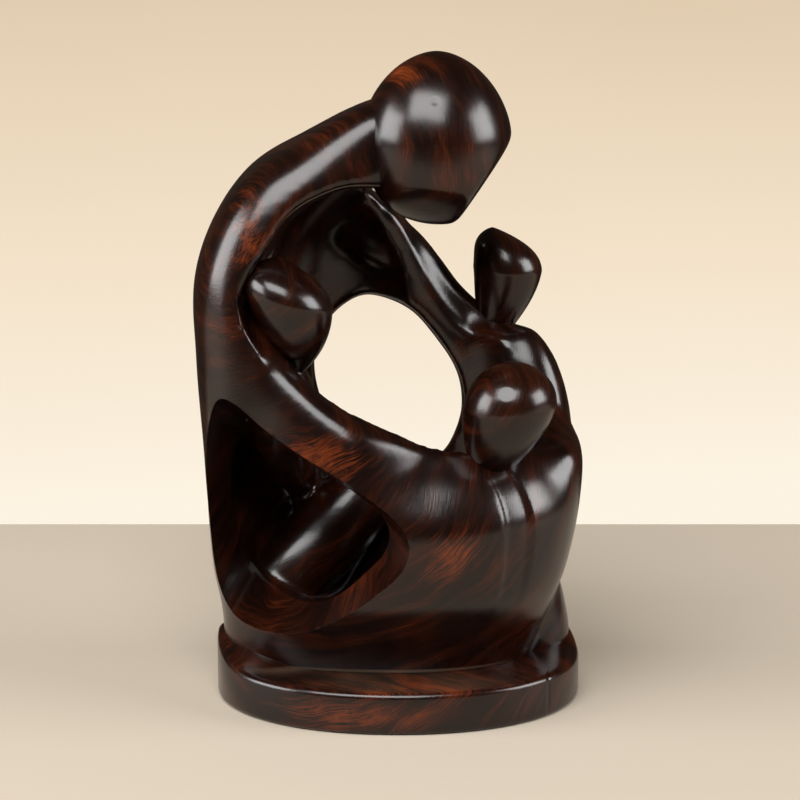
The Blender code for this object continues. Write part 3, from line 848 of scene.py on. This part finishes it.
class Recipe:
    """The nodes of one material."""

    def __init__(self, name: str) -> None:
        """Starts an empty material with its shader."""
        self.material = bpy.data.materials.new(name)
        self.material.use_nodes = True
        self.tree = self.material.node_tree
        self.shader = self.tree.nodes["Principled BSDF"]

    def node(
        self,
        kind: str,
        settings: dict[str, object] | None = None,
        inputs: dict[str | int, object] | None = None,
        output: str | int = 0,
    ) -> Shade:
        """Adds one node.

        Args:
            kind: the node's type, without its ShaderNode prefix.
            settings: what is set on the node itself; stops are a ramp's places and colours.
            inputs: values, or links, of its sockets by name or number.
            output: which of its outputs is wanted.

        Returns:
            That output.
        """
        made = self.tree.nodes.new("ShaderNode" + kind)
        for key, value in (settings or {}).items():
            if key == "stops":
                self.set_stops(made.color_ramp, value)
            else:
                setattr(made, key, value)
        for key, value in (inputs or {}).items():
            self.feed(made.inputs[key], value)
        return Shade(self, made.outputs[output])

    @staticmethod
    def set_stops(ramp: bpy.types.ColorRamp, stops: Sequence[tuple[float, Numbers]]) -> None:
        """Gives a ramp its places and colours."""
        while len(ramp.elements) < len(stops):
            ramp.elements.new(0.5)
        for element, (place, colour) in zip(ramp.elements, stops):
            element.position = place
            element.color = (*colour, 1)

    def feed(self, socket: bpy.types.NodeSocket, value: object) -> None:
        """Links a shader value to a socket, or sets the socket to a plain one."""
        if isinstance(value, Shade):
            self.tree.links.new(value.socket, socket)
        elif isinstance(value, (tuple, list)) and socket.type == "RGBA":
            socket.default_value = (*value[:3], 1)
        else:
            socket.default_value = value

    def place(self) -> Shade:
        """The point's place on the piece, in metres."""
        return self.node("TexCoord", output="Object")

    def axis(self, place: Shade, name: str) -> Shade:
        """One coordinate of a place: X, Y or Z."""
        return self.node("SeparateXYZ", inputs={0: place}, output=name)

    def stretched(self, place: Shade, lengths: Numbers, turn: Numbers = (0, 0, 0)) -> Shade:
        """A place measured in waves of the given lengths, in metres, along turned axes."""
        inputs = {"Vector": place, "Rotation": tuple(turn), "Scale": tuple(lengths)}
        return self.node("Mapping", {"vector_type": "TEXTURE"}, inputs)

    def grain(self, place: Shade, detail: float = 3, rough: float = 0.55, warp: float = 0) -> Shade:
        """A soft random pattern from 0 to 1, one wave to each unit of the place."""
        inputs = {
            "Vector": place,
            "Scale": 1.0,
            "Detail": detail,
            "Roughness": rough,
            "Distortion": warp,
        }
        return self.node("TexNoise", {"noise_dimensions": "3D"}, inputs)

    def near(self, place: Shade, centre: Numbers, reach: Numbers) -> Shade:
        """1 at a place on the piece, falling to 0 at a reach from it each way, in metres."""
        away = self.node(
            "VectorMath", {"operation": "SUBTRACT"}, {0: place, 1: tuple(centre)}
        )
        share = self.node("VectorMath", {"operation": "DIVIDE"}, {0: away, 1: tuple(reach)})
        length = self.node("VectorMath", {"operation": "LENGTH"}, {0: share}, "Value")
        return 1 - length.between(0.0, 1.0)

    def spots(self, place: Shade, marks: Sequence[tuple[Numbers, Numbers]]) -> Shade:
        """1 at the nearest of several centres, falling to 0 at its own reach."""
        share, *others = [self.near(place, *mark) for mark in marks]
        for other in others:
            share = share.most(other)
        return share

    def mixed(self, share: Shade | float, one: object, other: object) -> Shade:
        """A colour between two, by a share from 0 to 1."""
        inputs = {"Factor": share, 6: one, 7: other}
        return self.node("Mix", {"data_type": "RGBA"}, inputs, 2)

    def finish(self, **sockets: object) -> bpy.types.Material:
        """Feeds the shader's sockets, named with underscores for spaces, and gives the material."""
        for key, value in sockets.items():
            self.feed(self.shader.inputs[key.replace("_", " ")], value)
        return self.material


# Finishes


@dataclass(frozen=True)
class PolishedWood:
    """Near-black wood under wax with red heartwood in its grain, and a painted glow of red and orange glints
    where the light catches it.
    """

    dark: tuple[float, float, float] = (0.0040, 0.0011, 0.0006)
    brown: tuple[float, float, float] = (0.020, 0.0042, 0.0013)
    red: tuple[float, float, float] = (0.062, 0.0105, 0.0026)
    # Orange painted along the grain as glints of light: a painted highlight.
    orange_glint: tuple[float, float, float] = (0.22, 0.042, 0.007)
    roughness: float = 0.205
    shine: float = 0.40
    # The tree's heart runs from front to back through this x and height, in metres.
    heart: tuple[float, float] = (-0.075, 0.165)
    # How far the rings lean back.
    lean: float = 0.6
    # Painted glow where the light catches: the red and the orange glints are painted strongest here. Centre
    # and reach, in metres.
    glow_spots: tuple[tuple[Numbers, Numbers], ...] = (
        ((-0.044, -0.024, 0.150), (0.010, 0.02, 0.022)),
        ((0.001, -0.010, 0.1935), (0.016, 0.02, 0.007)),
        ((-0.022, -0.040, 0.083), (0.026, 0.03, 0.012)),
        ((0.016, -0.042, 0.054), (0.014, 0.02, 0.016)),
        ((0.000, -0.040, 0.014), (0.050, 0.02, 0.004)),
        ((0.004, -0.046, 0.026), (0.034, 0.02, 0.008)),
        ((-0.015, -0.044, 0.006), (0.050, 0.02, 0.010)),
    )
    # Small dents, darkened as painted shade: centre and radius, in metres.
    dents: tuple[tuple[Numbers, float], ...] = (
        ((0.0108, -0.0198, 0.1860), 0.0021),
        ((0.0108, -0.0234, 0.1742), 0.0018),
        ((0.0318, -0.0357, 0.1020), 0.0026),
    )
    # A drying crack in the plinth, darkened as painted shade: its middle and reach.
    crack: tuple[Numbers, Numbers] = ((0.0455, -0.0275, 0.0085), (0.0009, 0.012, 0.011))

    # Old wax and dust where the figure meets the plinth: its middle and reach.
    seam: tuple[Numbers, Numbers] = ((0.005, -0.036, 0.0137), (0.070, 0.030, 0.0009))
    dust: tuple[float, float, float] = (0.22, 0.15, 0.10)

    def rings(self, recipe: Recipe, place: Shade) -> Shade:
        """The place counted across the growth rings, along the trunk and around it."""
        drift = recipe.grain(recipe.stretched(place, (0.035, 0.06, 0.035)), 2, 0.5)
        x = recipe.axis(place, "X") - self.heart[0]
        z = recipe.axis(place, "Z") - self.heart[1]
        radius = (x * x + z * z) ** 0.5 + recipe.axis(place, "Y") * self.lean + drift * 0.02
        around = z.maths("ARCTAN2", z, x)
        inputs = {0: radius, 1: recipe.axis(place, "Y"), 2: around * 0.1}
        return recipe.node("CombineXYZ", inputs=inputs)

    def build(self) -> bpy.types.Material:
        """Makes the material.

        Returns:
            The finish, on the piece's own coordinates.
        """
        recipe = Recipe("polished_dark_wood")
        place = recipe.place()
        rings = self.rings(recipe, place)
        fibres = recipe.grain(recipe.stretched(rings, (0.00036, 0.009, 0.006)), 4, 0.62)
        bands = recipe.grain(recipe.stretched(rings, (0.0042, 0.045, 0.030)), 3, 0.6)
        clouds = recipe.grain(recipe.stretched(place, (0.022, 0.022, 0.022)), 3, 0.55)
        glow_spots = recipe.spots(place, self.glow_spots)
        dents = recipe.spots(place, [(centre, (radius,) * 3) for centre, radius in self.dents])
        crack = recipe.near(place, *self.crack)
        dim_share = (bands * 0.5 + fibres * 0.3 + clouds * 0.2).between(0.42, 0.64)
        base = recipe.mixed(dim_share, self.dark, self.brown)
        # The red follows the grain, and is painted stronger at the glow spots as painted light.
        red_share = (bands * 0.5 + fibres * 0.6 + clouds * 0.45 + glow_spots * 0.24).between(0.80, 1.12)
        flecks = recipe.grain(recipe.stretched(place, (0.0040, 0.0040, 0.0040)), 4, 0.7)
        # Orange glints painted along the grain, strongest at the glow spots: painted highlight.
        glint_share = (fibres * 0.45 + bands * 0.35 + flecks * 0.35 + glow_spots * 0.2).between(0.66, 1.02)
        warm = recipe.mixed(red_share * 0.85, base, self.red)
        lit = recipe.mixed(glint_share * (0.06 + glow_spots * 0.62), warm, self.orange_glint)
        dusty = recipe.mixed(recipe.near(place, *self.seam) * 0.55, lit, self.dust)
        # The crack and the dents are darkened as painted shade.
        colour = recipe.mixed(crack.most(dents * 0.6), dusty, self.dark)
        pores = recipe.grain(recipe.stretched(rings, (0.00035, 0.006, 0.0035)), 2, 0.55)
        smears = recipe.grain(recipe.stretched(place, (0.007, 0.007, 0.014)), 3, 0.6)
        rough = self.roughness - 0.05 + smears * 0.08 + pores * 0.05
        relief = pores * 0.45 + fibres * 0.55 - dents * 6 - crack * 9
        bump = recipe.node(
            "Bump", inputs={"Strength": 0.2, "Distance": 0.0002, "Height": relief}, output="Normal"
        )
        return recipe.finish(
            Base_Color=colour, Roughness=rough, Normal=bump, Specular_IOR_Level=self.shine
        )


@dataclass(frozen=True)
class PalePaint:
    """Plain pale matt paint, for the table."""

    colour: tuple[float, float, float] = (0.385, 0.33, 0.262)
    roughness: float = 0.75

    def build(self) -> bpy.types.Material:
        """Makes the material."""
        return Recipe("pale_paint").finish(Base_Color=self.colour, Roughness=self.roughness)


@dataclass(frozen=True)
class GlowingScreen:
    """A warm screen lit from behind, brighter towards its foot, which needs no lamp of its own."""

    foot: tuple[float, float, float] = (0.985, 0.90, 0.76)
    middle: tuple[float, float, float] = (0.90, 0.76, 0.585)
    top: tuple[float, float, float] = (0.74, 0.59, 0.42)
    # The heights of the three colours, in metres.
    heights: tuple[float, float, float] = (-0.60, -0.32, 0.02)

    def build(self) -> bpy.types.Material:
        """Makes the material."""
        recipe = Recipe("glowing_screen")
        place = recipe.place()
        mottle = recipe.grain(recipe.stretched(place, (0.9, 0.9, 0.5)), 2, 0.5)
        foot, middle, top = self.heights
        share = (recipe.axis(place, "Z") + (mottle - 0.5) * 0.12 - foot) / (top - foot)
        stops = ((0.0, self.foot), ((middle - foot) / (top - foot), self.middle), (1.0, self.top))
        glow = recipe.node("ValToRGB", {"stops": stops}, {0: share})
        black = (0.0, 0.0, 0.0)
        recipe.shader.inputs["Emission Strength"].default_value = 1.0
        recipe.shader.inputs["Specular IOR Level"].default_value = 0.0
        return recipe.finish(Base_Color=black, Emission_Color=glow)


# The studio


@dataclass(frozen=True)
class Softbox:
    """A square lamp aimed at the carving from a direction, in degrees from the camera's side."""

    name: str
    azimuth: float
    elevation: float
    width: float
    height: float
    radiance: float
    distance: float = 1.2

    def build(self, target: Vector) -> None:
        """Hangs the lamp round a point that it shines on."""
        a, e = math.radians(self.azimuth), math.radians(self.elevation)
        way = Vector((math.sin(a) * math.cos(e), -math.cos(a) * math.cos(e), math.sin(e)))
        lamp = bpy.data.lights.new(self.name, "AREA")
        lamp.shape = "RECTANGLE"
        lamp.size = self.width
        lamp.size_y = self.height
        lamp.energy = self.radiance * math.pi * self.width * self.height
        holder = bpy.data.objects.new(self.name, lamp)
        holder.location = target + way * self.distance
        holder.rotation_euler = way.to_track_quat("Z", "Y").to_euler()
        bpy.context.scene.collection.objects.link(holder)


@dataclass
class Studio:
    """A pale table, a warm screen far behind it, soft lamps and the camera."""

    target: Vector = field(default_factory=lambda: Vector((0.0006, 0, 0.0922)))
    distance: float = 0.9
    pitch: float = 13.0
    metres_per_pixel: float = 0.000305
    frame_pixels: int = 800
    # The table's x, then its y, and the screen's x, then its z, each from low to high.
    table: tuple[Numbers, Numbers] = ((-1.3, 1.3), (-0.62, 0.192))
    screen: tuple[Numbers, Numbers] = ((-4.7, 2.3), (-0.75, 1.95))
    screen_distance: float = 2.5
    lamp_aim: tuple[float, float, float] = (0.0, 0.0, 0.15)
    lamps: tuple[Softbox, ...] = (
        Softbox("left_window", -76, 17, 0.75, 0.62, 11.4),
        Softbox("front_window", -18, 47, 1.1, 0.66, 11.2),
        Softbox("right_window", 78, 18, 0.7, 0.62, 11.4),
    )
    # What the room gives back in the polish, and what shows past the table and the screen.
    dim_room: tuple[float, float, float] = (0.048, 0.038, 0.029)
    pale_room: tuple[float, float, float] = (0.80, 0.68, 0.53)

    def camera(self) -> None:
        """Stands the camera where the photograph was taken from."""
        lens = bpy.data.cameras.new("camera")
        lens.lens = 36 * self.distance / self.metres_per_pixel / self.frame_pixels
        lens.sensor_width = 36
        lens.clip_start = 0.01
        holder = bpy.data.objects.new("camera", lens)
        tip = math.radians(self.pitch)
        way = Vector((0, -math.cos(tip), math.sin(tip)))
        holder.location = self.target + way * self.distance
        holder.rotation_euler = way.to_track_quat("Z", "Y").to_euler()
        bpy.context.scene.collection.objects.link(holder)
        bpy.context.scene.camera = holder

    def panel(self, name: str, corners: Rows, finish: bpy.types.Material) -> bpy.types.Object:
        """Adds one flat part of the stage.

        Args:
            name: its name.
            corners: its low and high corner, level in y or in z.
            finish: its material.

        Returns:
            The part.
        """
        Bench.clear()
        bpy.ops.mesh.primitive_plane_add(size=1)
        panel = bpy.context.object
        panel.name = name
        low, high = np.array(corners, float)
        flat = Bench.points(panel)
        upright = low[1] == high[1]
        share = np.stack([flat[:, 0], flat[:, 1] * (not upright), flat[:, 1] * upright], axis=1)
        Bench.put_points(panel, (low + high) / 2 + share * (high - low))
        panel.data.materials.append(finish)
        return panel

    def stage(self) -> None:
        """Lays the table and stands the screen far behind it."""
        (left, right), (front, back) = self.table
        self.panel("table", ((left, front, 0), (right, back, 0)), PalePaint().build())
        (left, right), (foot, top) = self.screen
        away = self.screen_distance
        screen = self.panel("screen", ((left, away, foot), (right, away, top)), GlowingScreen().build())
        screen.visible_glossy = False

    def light(self) -> None:
        """Hangs the lamps and sets the light of the room, pale where it is looked at directly."""
        for lamp in self.lamps:
            lamp.build(Vector(self.lamp_aim))
        world = bpy.data.worlds.new("room")
        bpy.context.scene.world = world
        world.use_nodes = True
        nodes, links = world.node_tree.nodes, world.node_tree.links
        path = nodes.new("ShaderNodeLightPath")
        mix = nodes.new("ShaderNodeMix")
        mix.data_type = "RGBA"
        mix.inputs[6].default_value = (*self.dim_room, 1)
        mix.inputs[7].default_value = (*self.pale_room, 1)
        links.new(path.outputs["Is Camera Ray"], mix.inputs[0])
        links.new(mix.outputs[2], nodes["Background"].inputs["Color"])
        bpy.context.scene.view_settings.view_transform = "Standard"

    def build(self) -> None:
        """Sets the whole studio."""
        self.camera()
        self.stage()
        self.light()


def main() -> None:
    """Builds the carving and its studio, and writes how large it came out."""
    logging.basicConfig(level=logging.INFO, format="%(message)s")
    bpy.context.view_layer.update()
    Studio().build()
    log.info("studio set")
    figure = Carving().build()
    figure.data.materials.clear()
    figure.data.materials.append(PolishedWood().build())
    triangles = sum(len(face.vertices) - 2 for face in figure.data.polygons)
    log.info("%s: %d triangles", figure.name, triangles)
    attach(figure, "root")
    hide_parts("mother_and_children")


if __name__ == "__main__":
    main()
